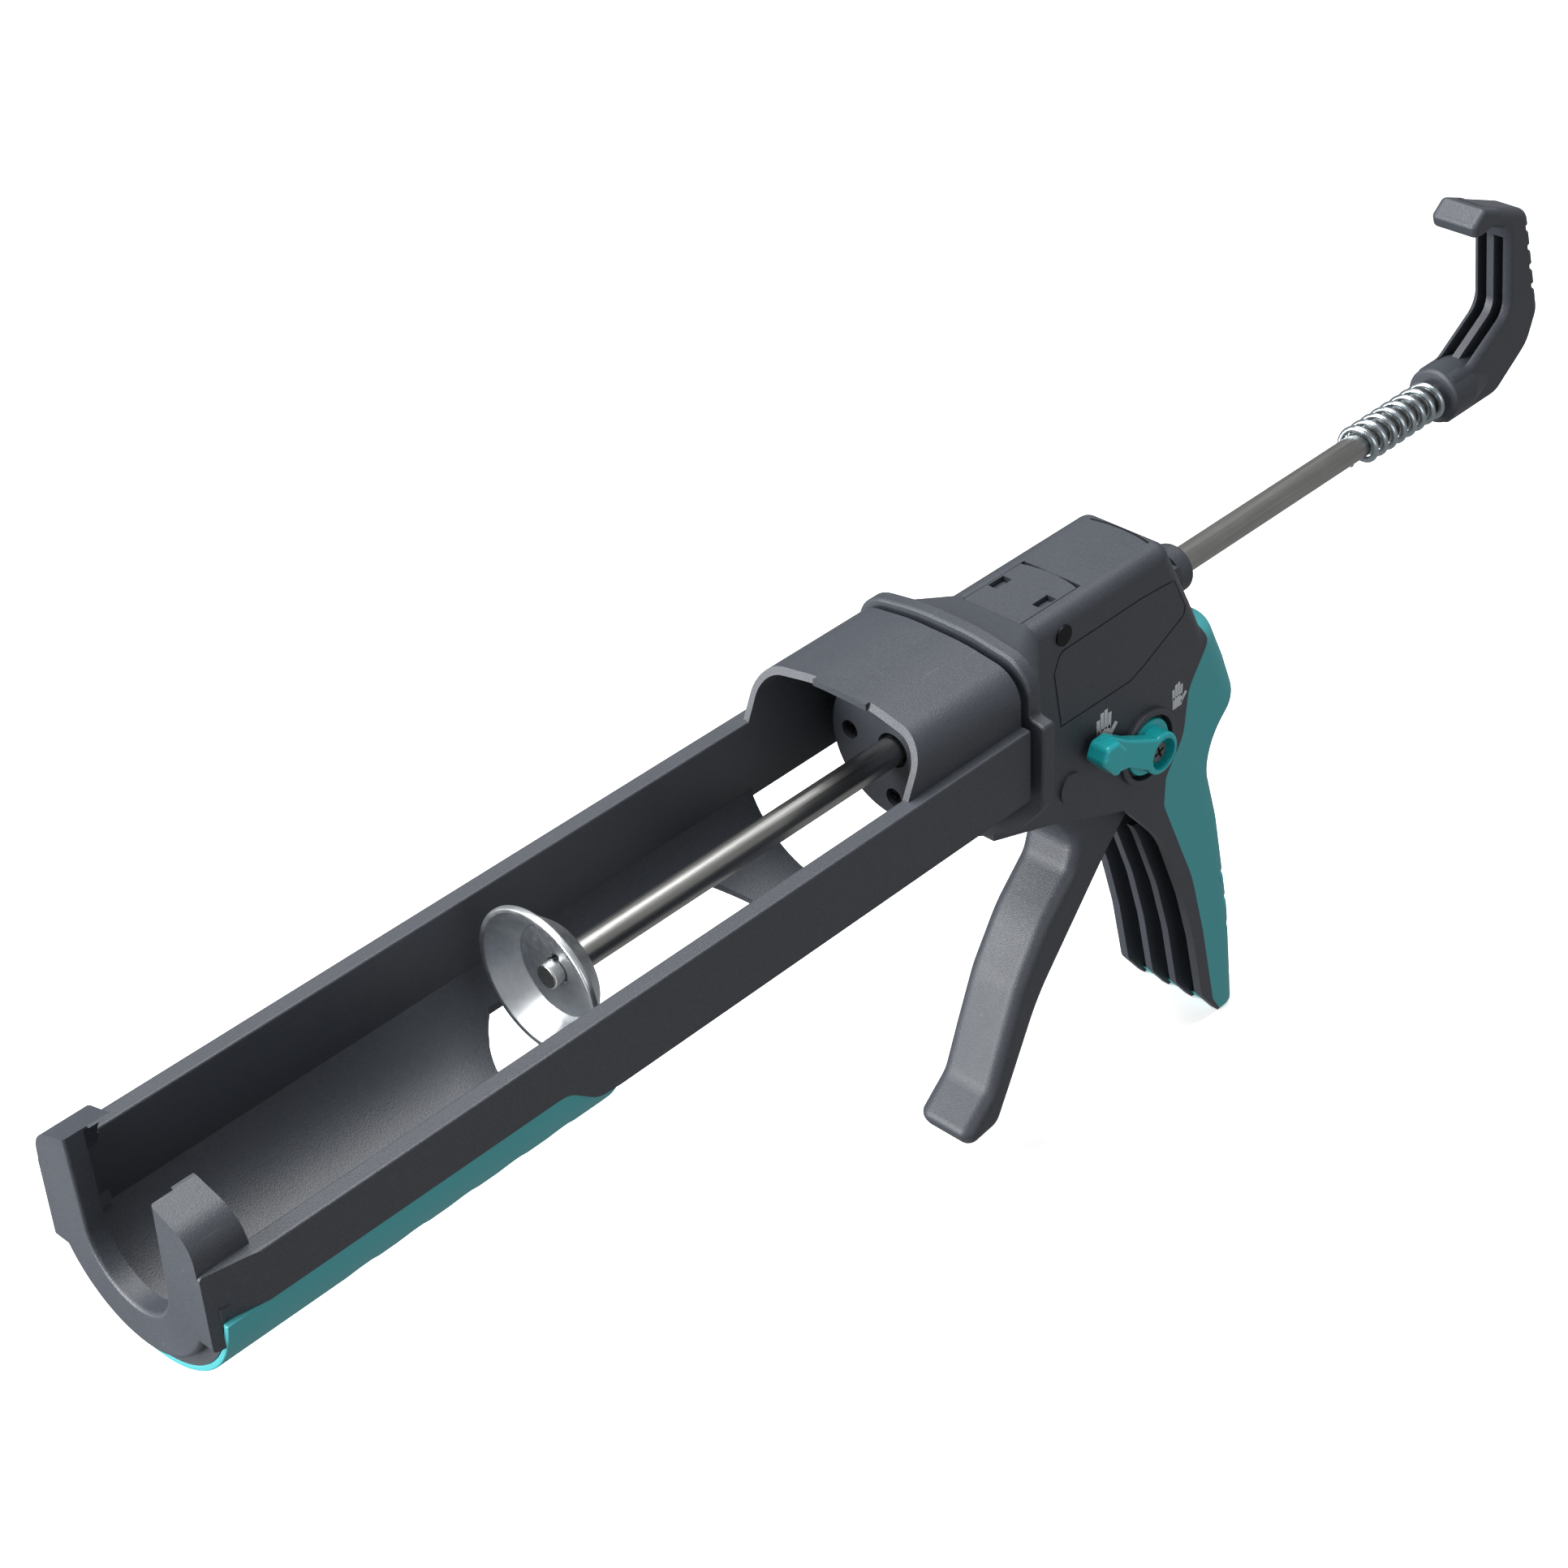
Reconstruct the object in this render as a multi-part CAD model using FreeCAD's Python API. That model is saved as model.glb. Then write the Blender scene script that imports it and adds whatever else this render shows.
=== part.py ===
"""Caulking gun for 310 ml cartridges, with a swivelling half-shell cradle.

Frame, in millimetres: X runs along the push rod towards the nozzle, Z is up, Y is to the left.
The origin is on the rod's axis, in the face of the nose plate that the cartridge's shoulder bears on.
"""
import FreeCAD, Part
import math
import os
from FreeCAD import Vector

# Driving dimensions
RUN = 0.08            # radial clearance of a running fit
GAP = 0.35            # clearance between pieces that move past each other

rod_r = 4.0
bay_half_width = 26.5      # inner half-width between the rails, for a cartridge of 50 mm
bay_floor_r = 28.4
rail_half_width = 31.5
rail_top = 10.5
rail_bottom = -11.1
shell_r = 30.0
grip_r = 31.5
dimple_ball_r = 10.0
dimple_depth = 1.45
dimple_angle = 44.0
nose_thick = 5.3
ear_rear = -9.0
cradle_rear = -258.2
hood_front = -215.3        # where the hood's raked front edge meets the rails
hood_rake = 0.46
hood_half_width = 28.4
hood_top = 28.4

disc_front = -240.5        # the retaining disc's face, at the rear of the bay
disc_rear = -244.4
disc_r = 21.3
stub_r = 18.0
disc_screw_circle = 15.0

flange_front = -260.4
flange_rear = -265.0
body_half_width = 15.5
body_top = 22.9
wall = 2.8
skin = 2.2              # the soft grip's thickness over the handle's core
collar_rear = -357.5

bush_r = 7.0
trigger_pivot = (-293.7, -33.7)
trigger_half_width = 9.8
upper_pin_at = (-290.5, 16.7)
selector_at = (-326.4, -37.5)
knob_base_top = 1.4        # the knob's base plate above the body's side
selector_recess = 1.6
block_front = -316.0
notch_depth = 1.1          # the notches across the heel of the soft grip
notch_height = 4.3
spring_front = -441.2
hook_face = -482.5
plunger_rim = -115.3
plunger_r = 20.2
stud_r = 3.3
stud_tip = -118.4
handle_rib_half_gap = 3.3


def outline(points, plane="xz", at=0.0):
    """A closed wire through (a, b, radius) corners: straight sides, and an arc at each corner."""
    def place(a, b):
        return Vector(a, at, b) if plane == "xz" else Vector(at, a, b)
    corners = [(place(p[0], p[1]), p[2] if len(p) > 2 else 0.0) for p in points]
    edges = []
    ends = []
    for i, (corner, radius) in enumerate(corners):
        if radius == 0:
            ends.append((corner, corner))
            continue
        back = (corners[i - 1][0] - corner).normalize()
        ahead = (corners[(i + 1) % len(corners)][0] - corner).normalize()
        half = back.getAngle(ahead) / 2
        reach = radius / math.tan(half)
        middle = (back + ahead).normalize()
        start, finish = corner + back * reach, corner + ahead * reach
        crown = corner + middle * (radius / math.sin(half) - radius)
        edges.append(Part.Arc(start, crown, finish).toShape())
        ends.append((start, finish))
    for i, (_, leave) in enumerate(ends):
        arrive = ends[(i + 1) % len(ends)][0]
        if leave.distanceToPoint(arrive) > 1e-4:
            edges.append(Part.makeLine(leave, arrive))
    return Part.Wire(Part.__sortEdges__(edges))


def slab(points, y0, y1):
    """A side profile in X and Z, extruded across Y."""
    return Part.Face(outline(points, "xz", y0)).extrude(Vector(0, y1 - y0, 0))


def bar(points, x0, x1):
    """A cross-section in Y and Z, extruded along X."""
    return Part.Face(outline(points, "yz", x0)).extrude(Vector(x1 - x0, 0, 0))


def mirrored(points):
    """A closed cross-section from its +Y half, listed from bottom to top."""
    return points + [(-p[0],) + tuple(p[1:]) for p in reversed(points)]


def box(x0, x1, y0, y1, z0, z1):
    return Part.makeBox(x1 - x0, y1 - y0, z1 - z0, Vector(x0, y0, z0))


def rod_x(r, x0, x1, y=0.0, z=0.0):
    return Part.makeCylinder(r, x1 - x0, Vector(x0, y, z), Vector(1, 0, 0))


def rod_y(r, y0, y1, at):
    return Part.makeCylinder(r, y1 - y0, Vector(at[0], y0, at[1]), Vector(0, 1, 0))


def ring_x(r_out, r_in, x0, x1):
    return rod_x(r_out, x0, x1).cut(rod_x(r_in, x0 - 1, x1 + 1))


def turned_x(points):
    """A solid of revolution about the rod's axis, from (x, r) corners."""
    return Part.Face(outline([(p[0], p[1]) + tuple(p[2:]) for p in points])).revolve(
        Vector(0, 0, 0), Vector(1, 0, 0), 360)


def joined(first, *others):
    return first.fuse(list(others)).removeSplitter()


def soften(solid, radius, chosen):
    """Round the chosen edges; an edge that can't take the radius stays sharp."""
    edges = [e for e in solid.Edges if chosen(e)]
    try:
        result = solid.makeFillet(radius, edges)
        if result.isValid() and result.Volume > 0:
            return result
    except Exception:
        pass
    for edge in edges:
        middle = edge.CenterOfMass
        near = [e for e in solid.Edges if e.CenterOfMass.distanceToPoint(middle) < 1e-3]
        try:
            result = solid.makeFillet(radius, near[:1])
        except Exception:
            continue
        if result.isValid() and result.Volume > 0:
            solid = result
    return solid


def in_plane_y(edge, y, tol=0.01):
    box_ = edge.BoundBox
    return abs(box_.YMin - y) < tol and abs(box_.YMax - y) < tol


def in_plane_x(edge, x, tol=0.01):
    box_ = edge.BoundBox
    return abs(box_.XMin - x) < tol and abs(box_.XMax - x) < tol


def along_x(edge):
    box_ = edge.BoundBox
    return box_.YLength < 0.01 and box_.ZLength < 0.01


def hood_outline(inset):
    """The arched bridge at the cradle's rear: a half cross-section, crowned a little on top."""
    half, top = hood_half_width - inset, hood_top - inset
    return [(half, 0.0), (half, top - 3.2, 9.5 - inset), (9.0, top - 0.4, 60.0)]


# Cradle

def half_round(r, x0, x1, low):
    """The part of a cylinder about the rod's axis that lies below a level."""
    return rod_x(r, x0, x1).common(box(x0 - 1, x1 + 1, -r - 1, r + 1, -r - 1, low))


def floor_window(x0, x1, half_width, end_r):
    """A long opening in the cradle's floor with bowed ends."""
    plan = box(x0, x1, -half_width, half_width, -40, -12)
    front = Part.makeCylinder(end_r, 40, Vector(x1 - end_r, 0, -45))
    rear = Part.makeCylinder(end_r, 40, Vector(x0 + end_r, 0, -45))
    middle = box(x0 + end_r, x1 - end_r, -half_width, half_width, -45, -5)
    return joined(plan.common(front), plan.common(rear), plan.common(middle))


def make_nose():
    """The U-shaped plate that the cartridge's shoulder bears on, with an ear each side."""
    ears = bar(mirrored([(28.5, -3.1), (27.4, 19.3, 8.0), (15.3, 23.4, 1.8)]), ear_rear, nose_thick)
    ears = ears.cut(slab([(-9.1, 30), (-9.1, 8), (-8.7, rail_top), (-6.0, 30)], -40, 40))
    lower = joined(rod_x(26.4, 2.4, nose_thick).common(box(0, 9, -30, 30, -30, -3.1)),
                   half_round(29.8, ear_rear, 2.4, 0))
    nose = joined(ears, lower)
    slot = [(14.2, -1.1), (15.3, 24.0), (15.3, 40.0)]
    opening = bar(mirrored(slot), -1, 9).fuse(rod_x(14.25, -1, 9, z=-1.1))
    return nose, opening


def make_cradle():
    walls = bar(mirrored([(27.9, rail_bottom), (rail_half_width, rail_bottom),
                          (rail_half_width, rail_top)]), cradle_rear, nose_thick)
    ramp = [(ear_rear, rail_half_width), (nose_thick, 28.6), (nose_thick, 40.0), (ear_rear, 40.0)]
    for side in (1, -1):
        plan = Part.makePolygon([Vector(x, side * y, -20) for x, y in ramp + ramp[:1]])
        walls = walls.cut(Part.Face(plan).extrude(Vector(0, 0, 50)))
    shell = half_round(shell_r, cradle_rear, 0.0, rail_bottom + 0.5)
    nose, opening = make_nose()
    hood = bar(mirrored(hood_outline(0)), cradle_rear, hood_front + 3)
    cradle = joined(walls, shell, nose, hood)

    lean = [(hood_front, rail_top), (hood_front - hood_rake * 40, rail_top + 40), (0, rail_top + 40),
            (0, rail_top)]
    ahead = slab(lean, -40, 40).cut(box(-9.0, 10, -40, 40, 0, 60))
    cradle = cradle.cut(ahead)

    bay_walls = box(cradle_rear + 3.0, ear_rear, -bay_half_width, bay_half_width, -10.1, 10)
    bay_top = bar(mirrored(hood_outline(1.9)), cradle_rear + 3.0, hood_front + 4)
    bay_open = box(hood_front - 1, ear_rear, -bay_half_width, bay_half_width, 0, rail_top + 0.01)
    bay_ears = rod_x(27.4, ear_rear, 0).common(box(-12, 0, -bay_half_width, bay_half_width, -10.1, 30))
    bay_floor = half_round(bay_floor_r, cradle_rear + 3.0, 0, -10.0)
    cradle = cradle.cut([bay_walls, bay_top, bay_open, bay_ears, bay_floor, opening])

    cradle = cradle.cut([grip_zone(40, 29.8), front_window(),
                         box(-251.0, -214.6, -27.0, 27.0, -40, -9.4)])
    tongue = bar(mirrored([(9.0, hood_top - 4), (9.0, hood_top + 1)]), hood_front - 8.3, hood_front - 6.4)
    lip = bar(mirrored(hood_outline(0)), hood_front - 12, hood_front).cut(
        bar(mirrored(hood_outline(1.9)), hood_front - 13, hood_front + 1)).common(tongue)
    hub = ring_x(disc_r, stub_r + RUN, cradle_rear, disc_rear - GAP)
    cradle = joined(cradle, lip, hub)
    cradle = cradle.cut(rod_x(stub_r + RUN, cradle_rear - 1, disc_rear))
    cradle = soften(cradle, 1.0, lambda e: in_plane_x(e, nose_thick))
    return soften(cradle, 0.6, lambda e: along_x(e) and e.Length > 60
                  and abs(e.CenterOfMass.z - rail_top) < 0.02)


def front_window():
    return floor_window(-197.6, -106.0, 21.0, 26.0)


def grip_zone(r_out, r_in):
    """The shell under the cradle that the soft grip fills, seen from the side with its swept rear end."""
    side = [(2.4, -3.9), (2.4, -45.0), (-113.5, -45.0), (-113.5, -11.2, 3.0), (-104.5, -10.6, 8.0),
            (-96.0, -3.9, 8.0)]
    return ring_x(r_out, r_in, -113.5, 2.4).common(slab(side, -45, 45))


def make_cradle_grip():
    """Soft under-grip: a thin shell moulded round the trough, with five finger dimples each side."""
    shell = grip_zone(grip_r, 29.82).cut(front_window())
    angle = math.radians(dimple_angle)
    reach = grip_r + dimple_ball_r - dimple_depth
    for side in (1, -1):
        for i in range(5):
            centre = Vector(-38.5 - 15.0 * i, side * reach * math.cos(angle), -reach * math.sin(angle))
            shell = shell.cut(Part.makeSphere(dimple_ball_r, centre))
    return soften(shell, 0.5, lambda e: in_plane_x(e, 2.4))


# Swivel

def disc_screw_places():
    for i in range(4):
        angle = math.radians(90 * i)
        yield disc_screw_circle * math.cos(angle), disc_screw_circle * math.sin(angle)


def make_swivel_disc():
    disc = ring_x(disc_r, rod_r + 1.0, disc_rear, disc_front)
    for y, z in disc_screw_places():
        disc = disc.cut(rod_x(1.7, disc_rear - 1, disc_front + 1, y, z))
        disc = disc.cut(rod_x(2.7, disc_front - 2.9, disc_front + 1, y, z))
    return soften(disc, 0.6, lambda e: in_plane_x(e, disc_front) and e.BoundBox.YLength > 40)


def make_swivel_screws():
    screws = []
    for y, z in disc_screw_places():
        head_x = disc_front - 2.9
        screw = rod_x(2.5, head_x, head_x + 1.5, y, z).fuse(rod_x(1.4, head_x - 12, head_x, y, z))
        for turn in (0, 90):
            slot = box(head_x + 0.7, head_x + 2, -1.6, 1.6, -0.35, 0.35)
            slot.rotate(Vector(0, 0, 0), Vector(1, 0, 0), turn)
            slot.translate(Vector(0, y, z))
            screw = screw.cut(slot)
        screws.append(screw)
    return Part.makeCompound(screws)


# Housing with its handle

REAR_SPINE = [(-358.4, -9.6, 9.6), (-366.7, -27.4, 18.0), (-373.2, -44.2, 10.5),
              (-359.0, -57.5, 16.0), (-366.1, -82.5, 60.0), (-373.4, -120.0, 120.0), (-376.9, -155.8)]
CORE_SPINE = [(-356.0, -12.2, 7.6), (-364.2, -28.2, 16.0), (-370.4, -43.6, 8.0),
              (-356.5, -57.3, 18.0), (-363.7, -83.0, 60.0), (-371.1, -120.4, 120.0), (-374.4, -153.4)]
INNER_EDGE = [(-356.6, -145.5, 6.0), (-351.6, -121.6, 60.0), (-345.8, -101.8, 60.0),
              (-335.2, -75.1, 40.0), (-318.0, -55.0, 12.0)]
GRIP_FRONT = [(-354.1, -16.0, 3.0), (-345.3, -28.4, 12.0), (-343.5, -43.0, 12.0), (-336.0, -53.5, 5.0),
              (-335.4, -63.0, 6.0), (-349.8, -96.7, 60.0), (-355.8, -119.4, 60.0), (-362.2, -150.0, 3.0),
              (-366.5, -157.0)]


GRIP_NOTCHES = [(-103.5, -363.5), (-114.1, -366.3), (-124.7, -369.0)]   # top edge, forward end


def make_handle_block(spine, half, rounding):
    """The handle up to its rear spine, with the palm's edges rounded."""
    foot = spine[-1][1]
    block = slab([(block_front, spine[0][1])] + spine + [(block_front, foot)], -half, half)
    block = soften(block, rounding, lambda e: abs(abs(e.CenterOfMass.y) - half) < 0.01
                   and e.CenterOfMass.x < -356.0 and e.CenterOfMass.z > foot + 1.0)
    ahead = slab([(-365.5, foot - 1.0)] + INNER_EDGE + [(-300.0, -40.0), (-300.0, foot - 1.0)],
                 -half - 1, half + 1)
    heel = slab([(-400.0, 10.0), (block_front, 10.0), (block_front, foot), (spine[-1][0] - 0.3, foot, 5.3),
                 (spine[-2][0] - 0.3, spine[-2][1]), (-400.0, spine[-2][1])], -half - 1, half + 1)
    return block.cut(ahead).common(heel)


def make_body():
    side = [(-262.0, body_top), (-335.5, body_top, 3.0), (-347.5, -1.0), (-351.5, -9.5), (-351.8, -22.0),
            (-346.0, -40.0), (-341.0, -62.0), (-323.9, -62.0), (-318.0, -55.0), (-300.5, -48.0, 8.0),
            (-284.5, -41.5, 4.0), (-262.0, -34.0)]
    body = slab(side, -body_half_width, body_half_width)
    return soften(body, 4.5, lambda e: along_x(e) and e.CenterOfMass.z > body_top - 0.1 and e.Length > 20)


def flange_outline():
    return [(24.5, -26.0, 8.0), (33.6, -14.5, 6.0), (34.1, 11.0, 1.2), (29.4, 12.0, 1.2),
            (29.4, 26.6, 10.0), (9.0, 29.8, 60.0)]


def make_neck():
    """The flange behind the cradle, blended down to the body."""
    wide = outline(mirrored([(20.0, -31.5, 14.0), (31.5, -10.0, 10.0), (27.2, 25.0, 9.0)]), "yz",
                   flange_rear)
    narrow = outline(mirrored([(11.0, -38.0, 5.0), (15.4, -33.0, 5.0), (15.4, body_top, 5.0)]), "yz",
                     -281.0)
    blend = Part.makeLoft([wide, narrow], True)
    rim = bar(mirrored([(8.0, -35.8, 20.0)] + flange_outline()), flange_rear, flange_front)
    rim = soften(rim, 0.8, lambda e: in_plane_x(e, flange_rear) or in_plane_x(e, flange_front))
    return blend, rim


def make_cavity():
    """Room for the drive inside the body, open below for the trigger."""
    half = body_half_width - wall
    room = slab([(-268.0, body_top - wall), (-331.0, body_top - wall), (-339.5, 0.0), (-347.0, -12.0),
                 (-345.0, -50.0, 4.0), (-341.0, -74.0), (-318.0, -74.0), (-282.5, -66.0),
                 (-282.5, -30.0), (-268.0, -16.0)], -half, half)
    return room


def make_handle_pockets():
    """Three slots between the handle's walls and its two ribs, open towards the fingers."""
    deep = [(-320.0, -53.0), (-341.0, -53.0), (-341.5, -66.0), (-352.5, -84.0, 30.0),
            (-362.5, -120.0, 60.0), (-367.0, -160.0), (-330.0, -160.0)]
    half = body_half_width - wall
    rib = 2.4
    edge = handle_rib_half_gap
    return [slab(deep, y0, y1) for y0, y1 in
            ((-half, -edge - rib), (-edge, edge), (edge + rib, half))]


def make_housing_and_grip():
    full = joined(make_body(), make_handle_block(REAR_SPINE, body_half_width, 9.0))
    core = make_handle_block(CORE_SPINE, body_half_width - skin, 6.8)
    region = slab([(-351.6, -9.5), (-362.0, -4.0), (-385.0, -20.0), (-385.0, -157.0)]
                  + list(reversed(GRIP_FRONT)), -20, 20)
    grip = full.common(region).cut(core)
    blend, rim = make_neck()
    stub = rod_x(stub_r, flange_rear - 6, disc_rear)
    collar = rod_x(7.3, -352.0, collar_rear + 6).fuse(rod_x(7.3, collar_rear, -352.0))
    collar = soften(collar.removeSplitter(), 1.2, lambda e: in_plane_x(e, collar_rear))
    gusset = slab([(-340.0, 6.0), (-351.0, 6.0, 2.0), (-352.6, -7.0), (-340.0, -7.0)], -7.2, 7.2)
    boss = rod_y(11.6, body_half_width - 3, body_half_width + 1.6, selector_at)
    boss = soften(boss, 0.7, lambda e: in_plane_y(e, body_half_width + 1.6))
    body = joined(full.cut(grip), blend, rim, stub, collar, gusset, boss)
    sunk = make_handle_block([(p[0] + notch_depth,) + p[1:] for p in REAR_SPINE],
                             body_half_width - notch_depth, 8.0)
    for top, ahead in GRIP_NOTCHES:
        grip = grip.cut(box(-385.0, ahead, -20, 20, top - notch_height, top).cut(sunk))

    cuts = [make_cavity()] + make_handle_pockets()
    cuts += [rod_x(bush_r + RUN, -263.0, disc_rear + 1), rod_x(9.5, -276.0, -263.0),
             rod_x(5.0, -352.0, -335.0), rod_x(rod_r + 0.6, -360.0, -340.0)]
    cuts += [rod_y(3.0, -20, 20, upper_pin_at), rod_y(4.5, -20, 20, trigger_pivot)]
    cuts += [rod_y(9.9, body_half_width - selector_recess, 20, selector_at),
             rod_y(5.0 + RUN, 10, 20, selector_at)]
    for y, z in disc_screw_places():
        cuts.append(rod_x(1.4, disc_rear - 14, disc_rear + 1, y, z))
    cover_bed = slab([(-279.8, body_top - 1.6), (-304.6, body_top - 1.6), (-304.6, 30), (-279.8, 30)],
                     -9.8, 9.8)
    cuts.append(cover_bed)
    body = body.cut(cuts)
    arc_slot = Part.makeCylinder(38, 3, Vector(-296.5, 0, body_top - 2)).cut(
        Part.makeCylinder(37.2, 5, Vector(-296.5, 0, body_top - 3))).common(
        box(-340, -325, -10, 10, 0, 40))
    body = body.cut(arc_slot)
    panel_line = make_panel_groove()
    body = body.cut(panel_line)
    return body, grip


def make_panel_groove():
    """The shallow line that frames the plain panel on each side of the body."""
    groove = []
    corners = [(-289.2, -12.0), (-319.1, -12.5, 4.0), (-325.2, -10.3, 4.0), (-342.1, -2.6, 2.0),
               (-343.0, 0.0, 2.0), (-337.5, 11.4, 2.0), (-323.2, 12.4, 8.0), (-289.0, 12.2, 3.0),
               (-286.5, 6.0)]
    for side in (1, -1):
        y0 = side * body_half_width
        outer = slab(corners, y0 - 0.3, y0 + 0.3)
        shrunk = [(-290.0, -11.5), (-318.9, -12.0, 4.0), (-325.0, -9.8, 4.0), (-341.6, -2.2, 2.0),
                  (-342.4, 0.0, 2.0), (-337.1, 10.9, 2.0), (-323.3, 11.9, 8.0), (-289.4, 11.7, 3.0),
                  (-287.1, 6.2)]
        inner = slab(shrunk, y0 - 0.4, y0 + 0.4)
        groove.append(outer.cut(inner))
    return groove


def make_top_cover():
    """Snap-in cover with a curved rear edge and the two windows of its hooks."""
    plate = box(-304.4, -280.0, -9.6, 9.6, body_top - 1.5, body_top + 0.05)
    plate = plate.common(Part.makeCylinder(32.0, 10, Vector(-272.4, 0, body_top - 5)))
    for y0, y1 in ((-9.2, -6.1), (5.9, 9.1)):
        plate = plate.cut(box(-295.4, -289.2, y0, y1, body_top - 5, body_top + 5))
    return plate


# Drive inside the body

def make_drive_plates():
    """Three hardened plates that grip the rod when the trigger's arm pushes them."""
    plates = []
    for i in range(3):
        x0 = -297.0 + i * 2.1
        plate = slab([(x0, -11.0), (x0 + 1.9, -11.0), (x0 + 1.9, 12.5), (x0, 12.5)], -8.0, 8.0)
        plates.append(plate.cut(rod_x(rod_r + RUN, x0 - 1, x0 + 3)))
    return Part.makeCompound(plates)


def coil(x0, x1, r, wire_r, turns):
    """A compression spring about the rod's axis."""
    pitch = (x1 - x0 - 2 * wire_r) / turns
    helix = Part.makeHelix(pitch, pitch * turns, r)
    section = Part.Wire(Part.makeCircle(wire_r, Vector(r, 0, 0), Vector(0, 1, pitch / (2 * math.pi * r))))
    solid = Part.Wire(helix.Edges).makePipeShell([section], True, True)
    solid.rotate(Vector(0, 0, 0), Vector(0, 1, 0), 90)
    solid.translate(Vector(x0 + wire_r, 0, 0))
    return solid


# Trigger

TRIGGER_FRONT = [(-285.6, -37.0, 4.0), (-291.5, -46.0, 6.0), (-304.5, -60.5, 7.0), (-301.5, -70.5, 7.0),
                 (-289.5, -82.3, 40.0), (-279.0, -98.6, 30.0), (-272.0, -115.2, 60.0),
                 (-266.5, -129.0, 8.0), (-255.3, -138.6, 3.0)]
TRIGGER_REAR = [(-258.5, -144.0, 3.0), (-270.5, -142.8, 6.0), (-276.5, -131.5, 8.0),
                (-288.9, -107.3, 60.0), (-319.0, -72.4, 60.0), (-331.0, -61.5, 4.0),
                (-322.0, -50.0, 4.0), (-303.0, -38.0, 4.0)]


def make_trigger():
    w = trigger_half_width
    lever = slab(TRIGGER_FRONT + TRIGGER_REAR + [(-302.5, -33.0, 2.0), (-293.0, -25.0, 2.0)], -w, w)
    lever = soften(lever, 4.0, lambda e: abs(abs(e.CenterOfMass.y) - w) < 0.01)
    arm = slab([(-298.5, -36.0), (-302.0, -8.0, 3.0), (-301.0, 3.5, 1.5), (-297.6, 3.5, 1.5),
                (-297.6, -16.0, 4.0), (-289.0, -36.0)], -w, w)
    arm = arm.cut(box(-310, -280, -5.6, 5.6, -9.0, 10))
    eye = rod_y(8.4, -w, w, trigger_pivot)
    trigger = joined(lever, arm, eye)
    return trigger.cut(rod_y(4.5 + RUN, -20, 20, trigger_pivot))


# Selector

def make_selector_knob():
    x, z = selector_at
    base_top = body_half_width + knob_base_top
    base = rod_y(8.6, body_half_width - selector_recess + GAP, base_top, selector_at)
    hub = rod_y(6.4, base_top, body_half_width + 6.4, selector_at)
    y0, y1 = body_half_width + 2.7, body_half_width + 6.4
    arm = slab([(x, z + 5.0), (x + 14.5, z + 12.2, 3.0), (x + 22.0, z + 17.2, 2.0),
                (x + 27.4, z + 17.2, 2.0), (x + 29.4, z + 12.6, 2.0), (x + 21.5, z + 4.4, 3.0),
                (x + 15.0, z + 3.2, 4.0), (x + 2.0, z - 5.2)], y0, y1)
    grip = slab([(x + 19.0, z + 13.0), (x + 22.5, z + 17.2, 1.5), (x + 27.4, z + 17.2, 2.0),
                 (x + 29.4, z + 12.6, 2.0), (x + 22.5, z + 4.9, 1.5)], y0, y1 + 2.6)
    grip = soften(grip, 1.3, lambda e: in_plane_y(e, y1 + 2.6))
    arm = soften(arm, 1.0, lambda e: in_plane_y(e, y1))
    hub = soften(hub, 1.0, lambda e: in_plane_y(e, y1))
    base = soften(base, 0.6, lambda e: in_plane_y(e, base_top))
    knob = joined(base, hub, arm, grip)
    recess = rod_y(4.8, body_half_width + 3.0, y1 + 1, selector_at)
    return knob.cut([recess, rod_y(1.7, 10, 30, selector_at)])


def make_knob_screw():
    top = body_half_width + 3.0
    screw = rod_y(3.2, top, top + 1.8, selector_at).fuse(rod_y(1.5, 10.5, top, selector_at))
    screw = soften(screw, 0.4, lambda e: in_plane_y(e, top + 1.8))
    for turn in (20, 110):
        slot = box(-2.0, 2.0, top + 0.7, top + 3, -0.4, 0.4)
        slot.rotate(Vector(0, 0, 0), Vector(0, 1, 0), turn)
        slot.translate(Vector(selector_at[0], 0, selector_at[1]))
        screw = screw.cut(slot)
    return screw


def make_selector_cam():
    """The stub behind the knob whose off-centre lobe sets the arm's stop."""
    y_in = trigger_half_width + 0.5
    lobe = rod_y(5.0, y_in, body_half_width - wall - 0.15, (selector_at[0] - 2.0, selector_at[1]))
    neck = rod_y(5.0, y_in, body_half_width - selector_recess + GAP, selector_at)
    return joined(lobe, neck).cut(rod_y(1.5, 0, 30, selector_at))


# Rod and plunger

def make_push_rod():
    rod = rod_x(rod_r, hook_face - 18, -126.0)
    neck = rod_x(stud_r, -126.0, stud_tip)
    neck = soften(neck, 0.5, lambda e: in_plane_x(e, stud_tip))
    return joined(rod, neck).cut(hook_pin_bore())


def make_plunger():
    """A pressed steel dish with a rolled rim."""
    front = [(plunger_rim - 6.6, stud_r + 0.3), (plunger_rim - 6.6, 12.4, 0.5), (plunger_rim - 5.2, 13.6, 0.8),
             (plunger_rim - 1.2, 17.4, 1.2), (plunger_rim, 18.6, 0.8), (plunger_rim, plunger_r, 0.7)]
    back = [(plunger_rim - 1.6, plunger_r, 0.7), (plunger_rim - 2.8, 18.2, 1.2),
            (plunger_rim - 6.8, 14.6, 1.5), (plunger_rim - 8.7, 12.8, 1.0),
            (plunger_rim - 8.7, stud_r + 0.3)]
    dish = turned_x(front + back)
    return dish.cut(box(-130, -110, -1.3, 1.3, 2.0, stud_r + 1.6))


def make_plunger_washer():
    return ring_x(8.5, stud_r + 0.02, -126.0, -124.05)


# Hook at the rod's rear end

def hook_pin_bore():
    return Part.makeCylinder(1.5, 9.5, Vector(hook_face - 12, 0, -9.0), Vector(0, 0, 1))


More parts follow.
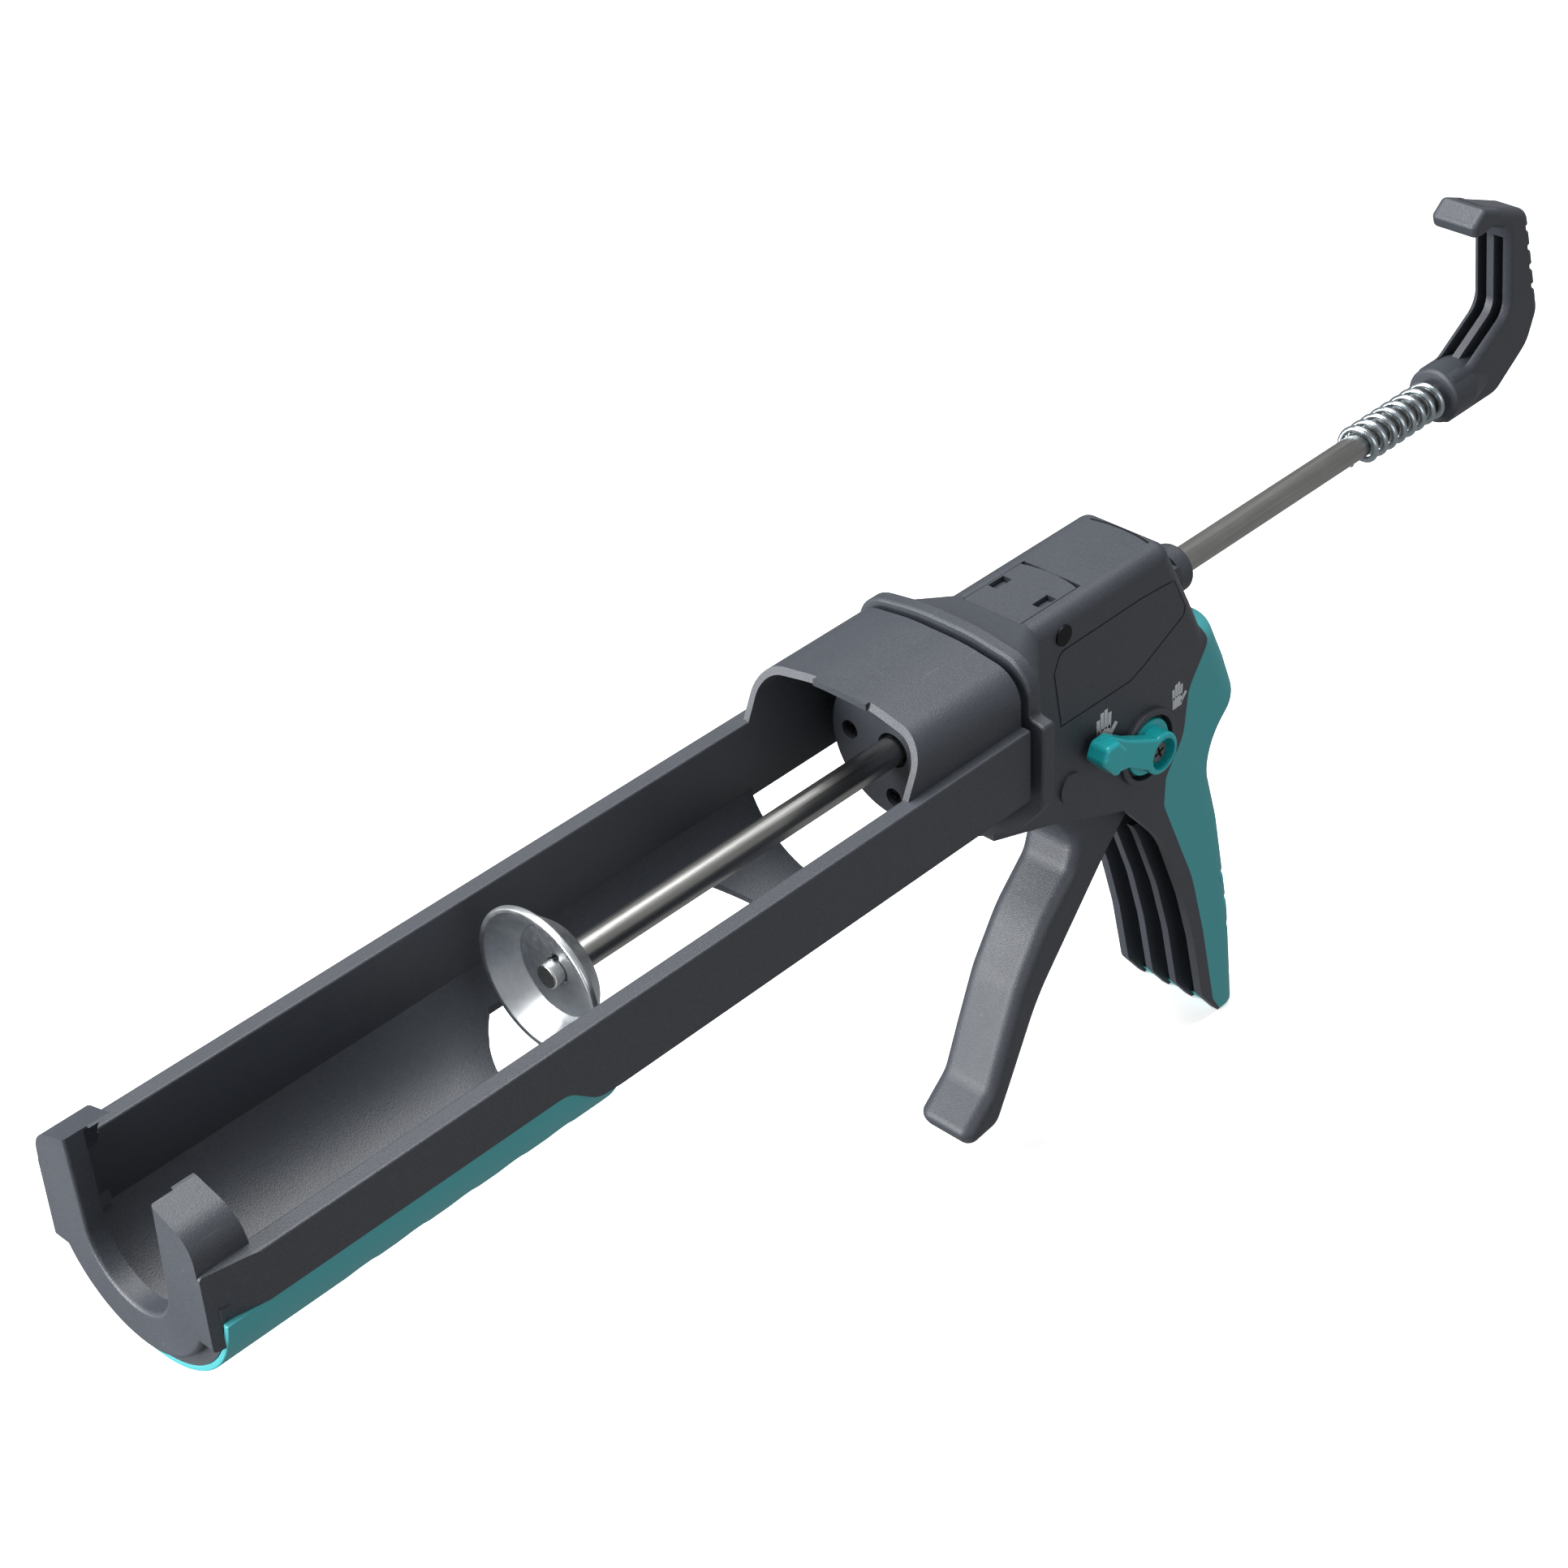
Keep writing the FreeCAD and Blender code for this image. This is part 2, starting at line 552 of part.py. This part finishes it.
HOOK_NOTCHES = [(45.5, -515.8), (38.3, -517.9), (31.1, -520.0), (23.9, -522.1)]   # top edge, floor


def make_hook():
    """The hanging hook: a ribbed blade that rises from the rod's boss to a wide lip."""
    side = [(hook_face - 1.5, -8.0), (-508.5, -8.0, 9.0), (-524.4, 2.8, 12.0), (-528.4, 13.5, 7.0),
            (-523.2, 31.0, 60.0), (-517.4, 50.0, 6.0), (-495.0, 59.0), (-494.0, 52.5), (-505.4, 48.2, 2.0),
            (-507.3, 43.5, 3.0), (-510.4, 18.8, 6.0), (-492.5, 8.0, 4.0), (hook_face - 1.5, 8.0)]
    w = 6.6
    blade = slab(side, -w, w)
    blade = soften(blade, 3.0, lambda e: abs(abs(e.CenterOfMass.y) - w) < 0.01
                   and abs(e.BoundBox.XMax - hook_face + 1.5) > 0.1)
    for top, floor in HOOK_NOTCHES:
        blade = blade.cut(slab([(floor, top), (-535.0, top), (-535.0, top - 3.4), (floor - 0.8, top - 3.4)],
                               -10, 10))
    grooves = [(-505.0, 44.5), (-514.5, 44.5), (-517.5, 16.5, 4.0), (-496.5, 2.0),
               (-490.0, 8.0), (-505.0, 20.0)]
    for y0, y1 in ((-4.4, -1.2), (1.2, 4.4)):
        blade = blade.cut(slab(grooves, y0, y1))
    boss = turned_x([(hook_face, 0.0), (hook_face, 8.7, 1.0), (hook_face - 11.0, 8.7, 9.0),
                     (hook_face - 25.0, 5.4), (hook_face - 25.0, 0.0)])
    head = slab([(-499.5, 57.0), (-491.2, 60.2), (-485.9, 56.2), (-487.2, 52.2), (-491.0, 51.6),
                 (-499.5, 52.8)], -7.8, 7.8)
    head = soften(head, 1.8, lambda e: e.CenterOfMass.x > -499.0)
    hook = joined(blade, boss, head)
    return hook.cut([rod_x(rod_r, hook_face - 18, hook_face + 1), hook_pin_bore()])


housing, handle_grip = make_housing_and_grip()

PARTS = {
    "cradle": make_cradle(),
    "cradle_grip": make_cradle_grip(),
    "swivel_disc": make_swivel_disc(),
    "swivel_screws": make_swivel_screws(),
    "housing": housing,
    "handle_grip": handle_grip,
    "top_cover": make_top_cover(),
    "front_bush": ring_x(bush_r, rod_r + RUN, -263.0, -246.0),
    "rear_bush": ring_x(5.0, rod_r + RUN, -352.0, -341.0),
    "upper_pin": rod_y(3.0, -body_half_width - 0.5, body_half_width + 0.5, upper_pin_at),
    "trigger_pin": rod_y(4.5, -body_half_width - 0.7, body_half_width + 0.7, trigger_pivot),
    "drive_plates": make_drive_plates(),
    "drive_spring": coil(-290.6, -263.2, 6.3, 0.7, 5),
    "trigger": make_trigger(),
    "selector_knob": make_selector_knob(),
    "knob_screw": make_knob_screw(),
    "selector_cam": make_selector_cam(),
    "push_rod": make_push_rod(),
    "plunger": make_plunger(),
    "plunger_washer": make_plunger_washer(),
    "buffer_spring": coil(spring_front - 40.6, spring_front, 5.4, 0.95, 8),
    "hook": make_hook(),
    "hook_pin": hook_pin_bore().common(box(-600, -400, -5, 5, -7.6, 5)),
}

os.makedirs("parts", exist_ok=True)
for name, shape in PARTS.items():
    shape.exportStep(f"parts/{name}.step")
    print(name, len(shape.Solids), "solid(s)", round(shape.Volume, 1), "mm3",
          "valid" if shape.isValid() else "NOT VALID")
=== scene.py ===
# Caulking gun: materials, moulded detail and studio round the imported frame
import bpy
import math
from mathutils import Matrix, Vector


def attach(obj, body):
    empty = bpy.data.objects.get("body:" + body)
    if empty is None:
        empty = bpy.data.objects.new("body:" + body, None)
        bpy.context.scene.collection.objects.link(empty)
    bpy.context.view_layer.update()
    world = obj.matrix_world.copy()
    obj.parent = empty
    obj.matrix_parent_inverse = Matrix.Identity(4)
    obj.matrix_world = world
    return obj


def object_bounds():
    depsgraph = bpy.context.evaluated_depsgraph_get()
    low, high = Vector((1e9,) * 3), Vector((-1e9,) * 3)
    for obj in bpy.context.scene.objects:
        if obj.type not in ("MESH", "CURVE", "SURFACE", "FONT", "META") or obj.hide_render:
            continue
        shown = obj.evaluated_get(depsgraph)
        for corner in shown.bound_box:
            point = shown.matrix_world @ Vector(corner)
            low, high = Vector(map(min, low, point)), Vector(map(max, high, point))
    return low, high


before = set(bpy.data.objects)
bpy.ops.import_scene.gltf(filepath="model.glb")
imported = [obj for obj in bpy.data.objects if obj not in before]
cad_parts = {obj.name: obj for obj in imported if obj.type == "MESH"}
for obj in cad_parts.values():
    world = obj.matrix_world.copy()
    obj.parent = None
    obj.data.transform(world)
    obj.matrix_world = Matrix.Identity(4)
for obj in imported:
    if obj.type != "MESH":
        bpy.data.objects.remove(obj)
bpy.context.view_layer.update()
bpy.ops.object.select_all(action="DESELECT")
print("frame loaded:", len(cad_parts), "nodes")


# node helpers

def newMaterial(name):
    material = bpy.data.materials.new(name)
    material.use_nodes = True
    material.node_tree.nodes.clear()
    output = material.node_tree.nodes.new("ShaderNodeOutputMaterial")
    shader = material.node_tree.nodes.new("ShaderNodeBsdfPrincipled")
    output.location = (600, 0)
    shader.location = (300, 0)
    material.node_tree.links.new(shader.outputs["BSDF"], output.inputs["Surface"])
    return material, material.node_tree, shader


def mathNode(tree, operation, first, second, clamp=False):
    node = tree.nodes.new("ShaderNodeMath")
    node.operation = operation
    node.use_clamp = clamp
    for index, value in enumerate((first, second)):
        if isinstance(value, (int, float)):
            node.inputs[index].default_value = value
        else:
            tree.links.new(value, node.inputs[index])
    return node.outputs[0]


def mixColour(tree, factor, first, second):
    node = tree.nodes.new("ShaderNodeMix")
    node.data_type = "RGBA"
    for socket, value in ((node.inputs[0], factor), (node.inputs[6], first), (node.inputs[7], second)):
        if isinstance(value, bpy.types.NodeSocket):
            tree.links.new(value, socket)
        else:
            socket.default_value = (*value, 1.0)
    return node.outputs[2]


def noiseNode(tree, coordinates, scale, detail=3.0, roughness=0.55):
    noise = tree.nodes.new("ShaderNodeTexNoise")
    noise.inputs["Scale"].default_value = scale
    noise.inputs["Detail"].default_value = detail
    noise.inputs["Roughness"].default_value = roughness
    tree.links.new(coordinates, noise.inputs["Vector"])
    return noise.outputs["Fac"]


def remap(tree, value, low, high, toLow, toHigh):
    node = tree.nodes.new("ShaderNodeMapRange")
    for socket, number in zip(node.inputs[1:5], (low, high, toLow, toHigh)):
        socket.default_value = number
    tree.links.new(value, node.inputs[0])
    return node.outputs[0]


def addInput(group, name, kind, default):
    group.interface.new_socket(name=name, in_out="INPUT", socket_type=kind).default_value = default


def addFinishOutputs(group):
    for name, kind in (("Colour", "NodeSocketColor"), ("Roughness", "NodeSocketFloat"),
                       ("Height", "NodeSocketFloat")):
        group.interface.new_socket(name=name, in_out="OUTPUT", socket_type=kind)


def scaleColour(tree, colour, factor):
    node = tree.nodes.new("ShaderNodeVectorMath")
    node.operation = "SCALE"
    tree.links.new(colour, node.inputs[0])
    tree.links.new(factor, node.inputs["Scale"])
    return node.outputs[0]


# Spark-eroded mould texture: fine pits, faint cloudiness and thin handling scuffs
def buildMouldGrain():
    group = bpy.data.node_groups.new("mouldGrain", "ShaderNodeTree")
    addInput(group, "Colour", "NodeSocketColor", (0.05, 0.05, 0.05, 1))
    addInput(group, "Scuff Colour", "NodeSocketColor", (0.1, 0.1, 0.1, 1))
    addInput(group, "Grain Scale", "NodeSocketFloat", 2600.0)
    addInput(group, "Speckle", "NodeSocketFloat", 0.3)
    addInput(group, "Cloud", "NodeSocketFloat", 0.1)
    addInput(group, "Base Roughness", "NodeSocketFloat", 0.5)
    addFinishOutputs(group)
    start = group.nodes.new("NodeGroupInput")
    end = group.nodes.new("NodeGroupOutput")
    coords = group.nodes.new("ShaderNodeTexCoord").outputs["Object"]
    fine = group.nodes.new("ShaderNodeTexNoise")
    fine.inputs["Detail"].default_value = 3.0
    fine.inputs["Roughness"].default_value = 0.7
    group.links.new(coords, fine.inputs["Vector"])
    group.links.new(start.outputs["Grain Scale"], fine.inputs["Scale"])
    pits = remap(group, fine.outputs["Fac"], 0.3, 0.7, 0.0, 1.0)
    broad = noiseNode(group, coords, 30.0, 5.0, 0.6)
    speck = mathNode(group, "MULTIPLY", mathNode(group, "SUBTRACT", pits, 0.5), start.outputs["Speckle"])
    cloud = mathNode(group, "MULTIPLY", mathNode(group, "SUBTRACT", broad, 0.5), start.outputs["Cloud"])
    shade = mathNode(group, "ADD", mathNode(group, "ADD", cloud, speck), 1.0)
    shaded = scaleColour(group, start.outputs["Colour"], shade)
    streaked = group.nodes.new("ShaderNodeMapping")
    streaked.inputs["Scale"].default_value = (60.0, 700.0, 420.0)
    streaked.inputs["Rotation"].default_value = (0.2, 0.35, 0.5)
    group.links.new(coords, streaked.inputs["Vector"])
    scratches = noiseNode(group, streaked.outputs[0], 1.0, 2.0, 0.5)
    where = remap(group, broad, 0.52, 0.66, 0.0, 1.0)
    scuff = mathNode(group, "MULTIPLY", remap(group, scratches, 0.66, 0.72, 0.0, 0.5), where, clamp=True)
    colour = mixColour(group, scuff, shaded, start.outputs["Scuff Colour"])
    group.links.new(colour, end.inputs["Colour"])
    unevenness = remap(group, broad, 0.3, 0.7, -0.05, 0.05)
    rough = mathNode(group, "ADD", start.outputs["Base Roughness"], unevenness)
    group.links.new(rough, end.inputs["Roughness"])
    group.links.new(mathNode(group, "SUBTRACT", pits, scuff), end.inputs["Height"])
    return group


# Drawn or turned metal: hair lines along one axis over faint cloudiness
def buildDrawnMetal():
    group = bpy.data.node_groups.new("drawnMetal", "ShaderNodeTree")
    addInput(group, "Colour", "NodeSocketColor", (0.6, 0.6, 0.6, 1))
    addInput(group, "Stretch", "NodeSocketVector", (20.0, 900.0, 900.0))
    addInput(group, "Line Strength", "NodeSocketFloat", 0.2)
    addInput(group, "Base Roughness", "NodeSocketFloat", 0.25)
    addFinishOutputs(group)
    start = group.nodes.new("NodeGroupInput")
    end = group.nodes.new("NodeGroupOutput")
    coords = group.nodes.new("ShaderNodeTexCoord").outputs["Object"]
    stretched = group.nodes.new("ShaderNodeVectorMath")
    stretched.operation = "MULTIPLY"
    group.links.new(coords, stretched.inputs[0])
    group.links.new(start.outputs["Stretch"], stretched.inputs[1])
    lines = noiseNode(group, stretched.outputs[0], 1.0, 6.0, 0.65)
    cloud = noiseNode(group, coords, 90.0, 4.0, 0.6)
    swing = mathNode(group, "MULTIPLY", mathNode(group, "SUBTRACT", lines, 0.5),
                     start.outputs["Line Strength"])
    swing = mathNode(group, "ADD", swing, remap(group, cloud, 0.3, 0.7, 0.93, 1.05))
    group.links.new(scaleColour(group, start.outputs["Colour"], swing), end.inputs["Colour"])
    rough = mathNode(group, "ADD", start.outputs["Base Roughness"],
                     mathNode(group, "MULTIPLY", mathNode(group, "SUBTRACT", lines, 0.5), 0.22))
    group.links.new(rough, end.inputs["Roughness"])
    group.links.new(lines, end.inputs["Height"])
    return group


mouldGrain = buildMouldGrain()
drawnMetal = buildDrawnMetal()


def placeGroup(tree, group, values):
    node = tree.nodes.new("ShaderNodeGroup")
    node.node_tree = group
    node.location = (-300, 0)
    for name, value in values.items():
        node.inputs[name].default_value = value
    return node


def finishWith(tree, shader, node, strength, distance):
    bump = tree.nodes.new("ShaderNodeBump")
    bump.inputs["Strength"].default_value = strength
    bump.inputs["Distance"].default_value = distance
    tree.links.new(node.outputs["Height"], bump.inputs["Height"])
    tree.links.new(bump.outputs["Normal"], shader.inputs["Normal"])
    tree.links.new(node.outputs["Colour"], shader.inputs["Base Color"])
    tree.links.new(node.outputs["Roughness"], shader.inputs["Roughness"])


def plasticMaterial(name, look):
    material, tree, shader = newMaterial(name)
    node = placeGroup(tree, mouldGrain, {
        "Colour": (*look["colour"], 1), "Scuff Colour": (*look["scuff"], 1), "Grain Scale": look["grain"],
        "Speckle": look["speckle"], "Cloud": look["cloud"], "Base Roughness": look["rough"]})
    finishWith(tree, shader, node, look["bump"], look["depth"])
    shader.inputs["IOR"].default_value = 1.49
    shader.inputs["Specular IOR Level"].default_value = look["specular"]
    return material


def metalMaterial(name, look):
    material, tree, shader = newMaterial(name)
    node = placeGroup(tree, drawnMetal, {
        "Colour": (*look["colour"], 1), "Stretch": look["stretch"],
        "Line Strength": look["lines"], "Base Roughness": look["rough"]})
    finishWith(tree, shader, node, look["bump"], look["depth"])
    shader.inputs["Metallic"].default_value = 1.0
    return material


plasticLooks = {
    "anthracite": {"colour": (0.030, 0.035, 0.045), "scuff": (0.07, 0.075, 0.085), "grain": 2300.0,
                   "speckle": 0.55, "cloud": 0.16, "rough": 0.47, "bump": 0.4, "depth": 0.00012,
                   "specular": 0.6},
    "tealSoft": {"colour": (0.05, 0.31, 0.335), "scuff": (0.09, 0.38, 0.4), "grain": 2900.0,
                 "speckle": 0.14, "cloud": 0.08, "rough": 0.5, "bump": 0.22, "depth": 0.0001,
                 "specular": 0.4},
    "tealKnob": {"colour": (0.01, 0.36, 0.39), "scuff": (0.05, 0.45, 0.48), "grain": 3600.0,
                 "speckle": 0.1, "cloud": 0.08, "rough": 0.26, "bump": 0.08, "depth": 0.00008,
                 "specular": 0.6},
    "paleAcetal": {"colour": (0.5, 0.48, 0.44), "scuff": (0.6, 0.58, 0.54), "grain": 2800.0,
                   "speckle": 0.1, "cloud": 0.1, "rough": 0.42, "bump": 0.1, "depth": 0.00008,
                   "specular": 0.5},
    "paleMark": {"colour": (0.46, 0.48, 0.5), "scuff": (0.55, 0.56, 0.57), "grain": 2300.0,
                 "speckle": 0.4, "cloud": 0.1, "rough": 0.45, "bump": 0.3, "depth": 0.0001,
                 "specular": 0.5},
}
metalLooks = {
    "drawnRod": {"colour": (0.40, 0.40, 0.39), "stretch": (18.0, 1500.0, 1500.0), "lines": 0.5,
                 "rough": 0.3, "bump": 0.2, "depth": 0.00006},
    "zincPlate": {"colour": (0.62, 0.65, 0.68), "stretch": (500.0, 500.0, 500.0), "lines": 0.3,
                  "rough": 0.36, "bump": 0.15, "depth": 0.00006},
    "springWire": {"colour": (0.46, 0.52, 0.56), "stretch": (500.0, 500.0, 500.0), "lines": 0.3,
                   "rough": 0.27, "bump": 0.1, "depth": 0.00005},
    "hardSteel": {"colour": (0.2, 0.2, 0.21), "stretch": (400.0, 900.0, 120.0), "lines": 0.35,
                  "rough": 0.42, "bump": 0.15, "depth": 0.00006},
    "blackSteel": {"colour": (0.02, 0.02, 0.023), "stretch": (600.0, 600.0, 600.0), "lines": 0.5,
                   "rough": 0.45, "bump": 0.15, "depth": 0.00006},
}
materials = {name: plasticMaterial(name, look) for name, look in plasticLooks.items()}
materials.update({name: metalMaterial(name, look) for name, look in metalLooks.items()})
print("materials made:", len(materials))

nodeFinish = {
    "cradle": "anthracite", "cradle_grip": "tealSoft", "swivel_disc": "anthracite",
    "swivel_screws": "blackSteel", "housing": "anthracite", "handle_grip": "tealSoft",
    "top_cover": "anthracite", "front_bush": "paleAcetal", "rear_bush": "paleAcetal",
    "upper_pin": "blackSteel", "trigger_pin": "anthracite", "drive_plates": "hardSteel",
    "drive_spring": "springWire", "trigger": "anthracite", "selector_knob": "tealKnob",
    "knob_screw": "hardSteel", "selector_cam": "paleAcetal", "push_rod": "drawnRod",
    "plunger": "zincPlate", "plunger_washer": "zincPlate", "buffer_spring": "springWire",
    "hook": "anthracite", "hook_pin": "zincPlate",
}
for node, finish in nodeFinish.items():
    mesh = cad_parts[node].data
    if not mesh.materials:
        mesh.materials.append(None)
    for index in range(len(mesh.materials)):
        mesh.materials[index] = materials[finish]
print("CAD nodes finished:", len(nodeFinish))


# Hand-size marks beside the knob: raised pale print, a palm with four fingers and a thumb
# Palm, fingers and thumb are given as shares of a mark's height; a finger is (sideways place, reach)
handMarks = {"side": 0.0155, "proud": 0.00014, "sunk": 0.0001, "cornerShare": 0.42, "cornerSteps": 4,
             "palm": 0.5, "palmDrop": 0.2, "fingerWidth": 0.125, "fingerSpread": 0.22,
             "fingers": ((-0.2, 0.34), (-0.067, 0.44), (0.067, 0.42), (0.2, 0.32)),
             "thumbAt": (-0.34, -0.17), "thumbSize": (0.13, 0.42), "thumbTurn": -0.75, "smoothAngle": 40,
             "large": {"at": (-0.3078, -0.0222), "height": 0.0112},
             "small": {"at": (-0.3401, -0.0281), "height": 0.0082}}


def addRoundedBar(place, size, turn):
    bpy.ops.mesh.primitive_cube_add(size=1.0, location=place, rotation=(0, turn, 0), scale=size)
    bar = bpy.context.object
    bpy.ops.object.transform_apply(location=True, rotation=True, scale=True)
    bevel = bar.modifiers.new("roundEnds", "BEVEL")
    bevel.width = min(size[0], size[2]) * handMarks["cornerShare"]
    bevel.segments = handMarks["cornerSteps"]
    bevel.limit_method = "ANGLE"
    bpy.ops.object.modifier_apply(modifier=bevel.name)
    return bar


def addHandMark(name, mark):
    x, z = mark["at"]
    height = mark["height"]
    thick = handMarks["proud"] + handMarks["sunk"]
    y = handMarks["side"] + (handMarks["proud"] - handMarks["sunk"]) / 2
    palm = handMarks["palm"] * height
    bars = [addRoundedBar((x, y, z - height * handMarks["palmDrop"]), (palm, thick, palm), 0.0)]
    for shift, reach in handMarks["fingers"]:
        lean = shift * handMarks["fingerSpread"]
        place = (x + (shift + lean * 0.3) * height, y, z + height * (reach - 0.18))
        bars.append(addRoundedBar(place, (height * handMarks["fingerWidth"], thick, height * (reach + 0.12)),
                                  lean))
    across, up = handMarks["thumbAt"]
    wide, long = handMarks["thumbSize"]
    bars.append(addRoundedBar((x + height * across, y, z + height * up),
                              (height * wide, thick, height * long), handMarks["thumbTurn"]))
    bpy.ops.object.select_all(action="DESELECT")
    for bar in bars:
        bar.select_set(True)
    bpy.context.view_layer.objects.active = bars[0]
    bpy.ops.object.join()
    piece = bpy.context.object
    piece.name = name
    bpy.ops.object.shade_smooth_by_angle(angle=math.radians(handMarks["smoothAngle"]))
    piece.data.materials.clear()
    piece.data.materials.append(materials["paleMark"])
    bpy.ops.object.select_all(action="DESELECT")
    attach(piece, "housing")


addHandMark("largeHandMark", handMarks["large"])
addHandMark("smallHandMark", handMarks["small"])
print("hand marks raised")


# studio
studio = {"floorSize": 8.0, "floorDrop": 0.0006, "floorGlow": 0.3, "worldStrength": 0.32,
          "aim": (-0.24, 0, -0.03), "cameraAt": (0.25903, 0.46865, 0.47605),
          "cameraTurn": (54.6474, 2.6838, 133.6464), "lens": 74.2625, "sensor": 36.0,
          # name: place in metres, size in metres, power in watts
          "lamps": {"keyLight": ((1.0, -0.55, 0.9), 0.8, 26), "topLight": ((-0.35, -0.25, 1.5), 1.0, 37),
                    "sideFill": ((0.1, 1.5, 0.35), 0.9, 6), "frontFill": ((1.5, -0.55, -0.05), 0.9, 78)}}


def addFloor():
    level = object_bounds()[0][2] - studio["floorDrop"]
    bpy.ops.mesh.primitive_plane_add(size=studio["floorSize"], location=(-0.25, 0, level))
    floor = bpy.context.object
    floor.name = "studioFloor"
    material, tree, shader = newMaterial("paleFloor")
    coords = tree.nodes.new("ShaderNodeTexCoord").outputs["Object"]
    cloud = noiseNode(tree, coords, 1.5, 2.0)
    pale = mixColour(tree, cloud, (0.93, 0.93, 0.93), (0.96, 0.96, 0.96))
    tree.links.new(pale, shader.inputs["Base Color"])
    shader.inputs["Roughness"].default_value = 0.8
    shader.inputs["Emission Color"].default_value = (1, 1, 1, 1)
    shader.inputs["Emission Strength"].default_value = studio["floorGlow"]
    floor.data.materials.append(material)
    # The floor takes light and shadow but sends none back onto the object's sides
    floor.visible_diffuse = False
    floor.visible_glossy = False


def addLamp(name, place, size, power):
    data = bpy.data.lights.new(name, "AREA")
    data.shape = "SQUARE"
    data.size = size
    data.energy = power
    lamp = bpy.data.objects.new(name, data)
    lamp.location = place
    lamp.rotation_euler = (Vector(studio["aim"]) - Vector(place)).to_track_quat("-Z", "Y").to_euler()
    bpy.context.collection.objects.link(lamp)


def addStudio():
    addFloor()
    for name, (place, size, power) in studio["lamps"].items():
        addLamp(name, place, size, power)
    world = bpy.data.worlds.new("studioWorld")
    bpy.context.scene.world = world
    world.use_nodes = True
    world.node_tree.nodes["Background"].inputs["Color"].default_value = (1, 1, 1, 1)
    world.node_tree.nodes["Background"].inputs["Strength"].default_value = studio["worldStrength"]
    data = bpy.data.cameras.new("studioCamera")
    data.lens = studio["lens"]
    data.sensor_width = studio["sensor"]
    data.clip_start = 0.01
    camera = bpy.data.objects.new("studioCamera", data)
    camera.location = studio["cameraAt"]
    camera.rotation_euler = [math.radians(angle) for angle in studio["cameraTurn"]]
    bpy.context.collection.objects.link(camera)
    bpy.context.scene.camera = camera
    bpy.context.scene.view_settings.view_transform = "Standard"


addStudio()
print("studio ready")
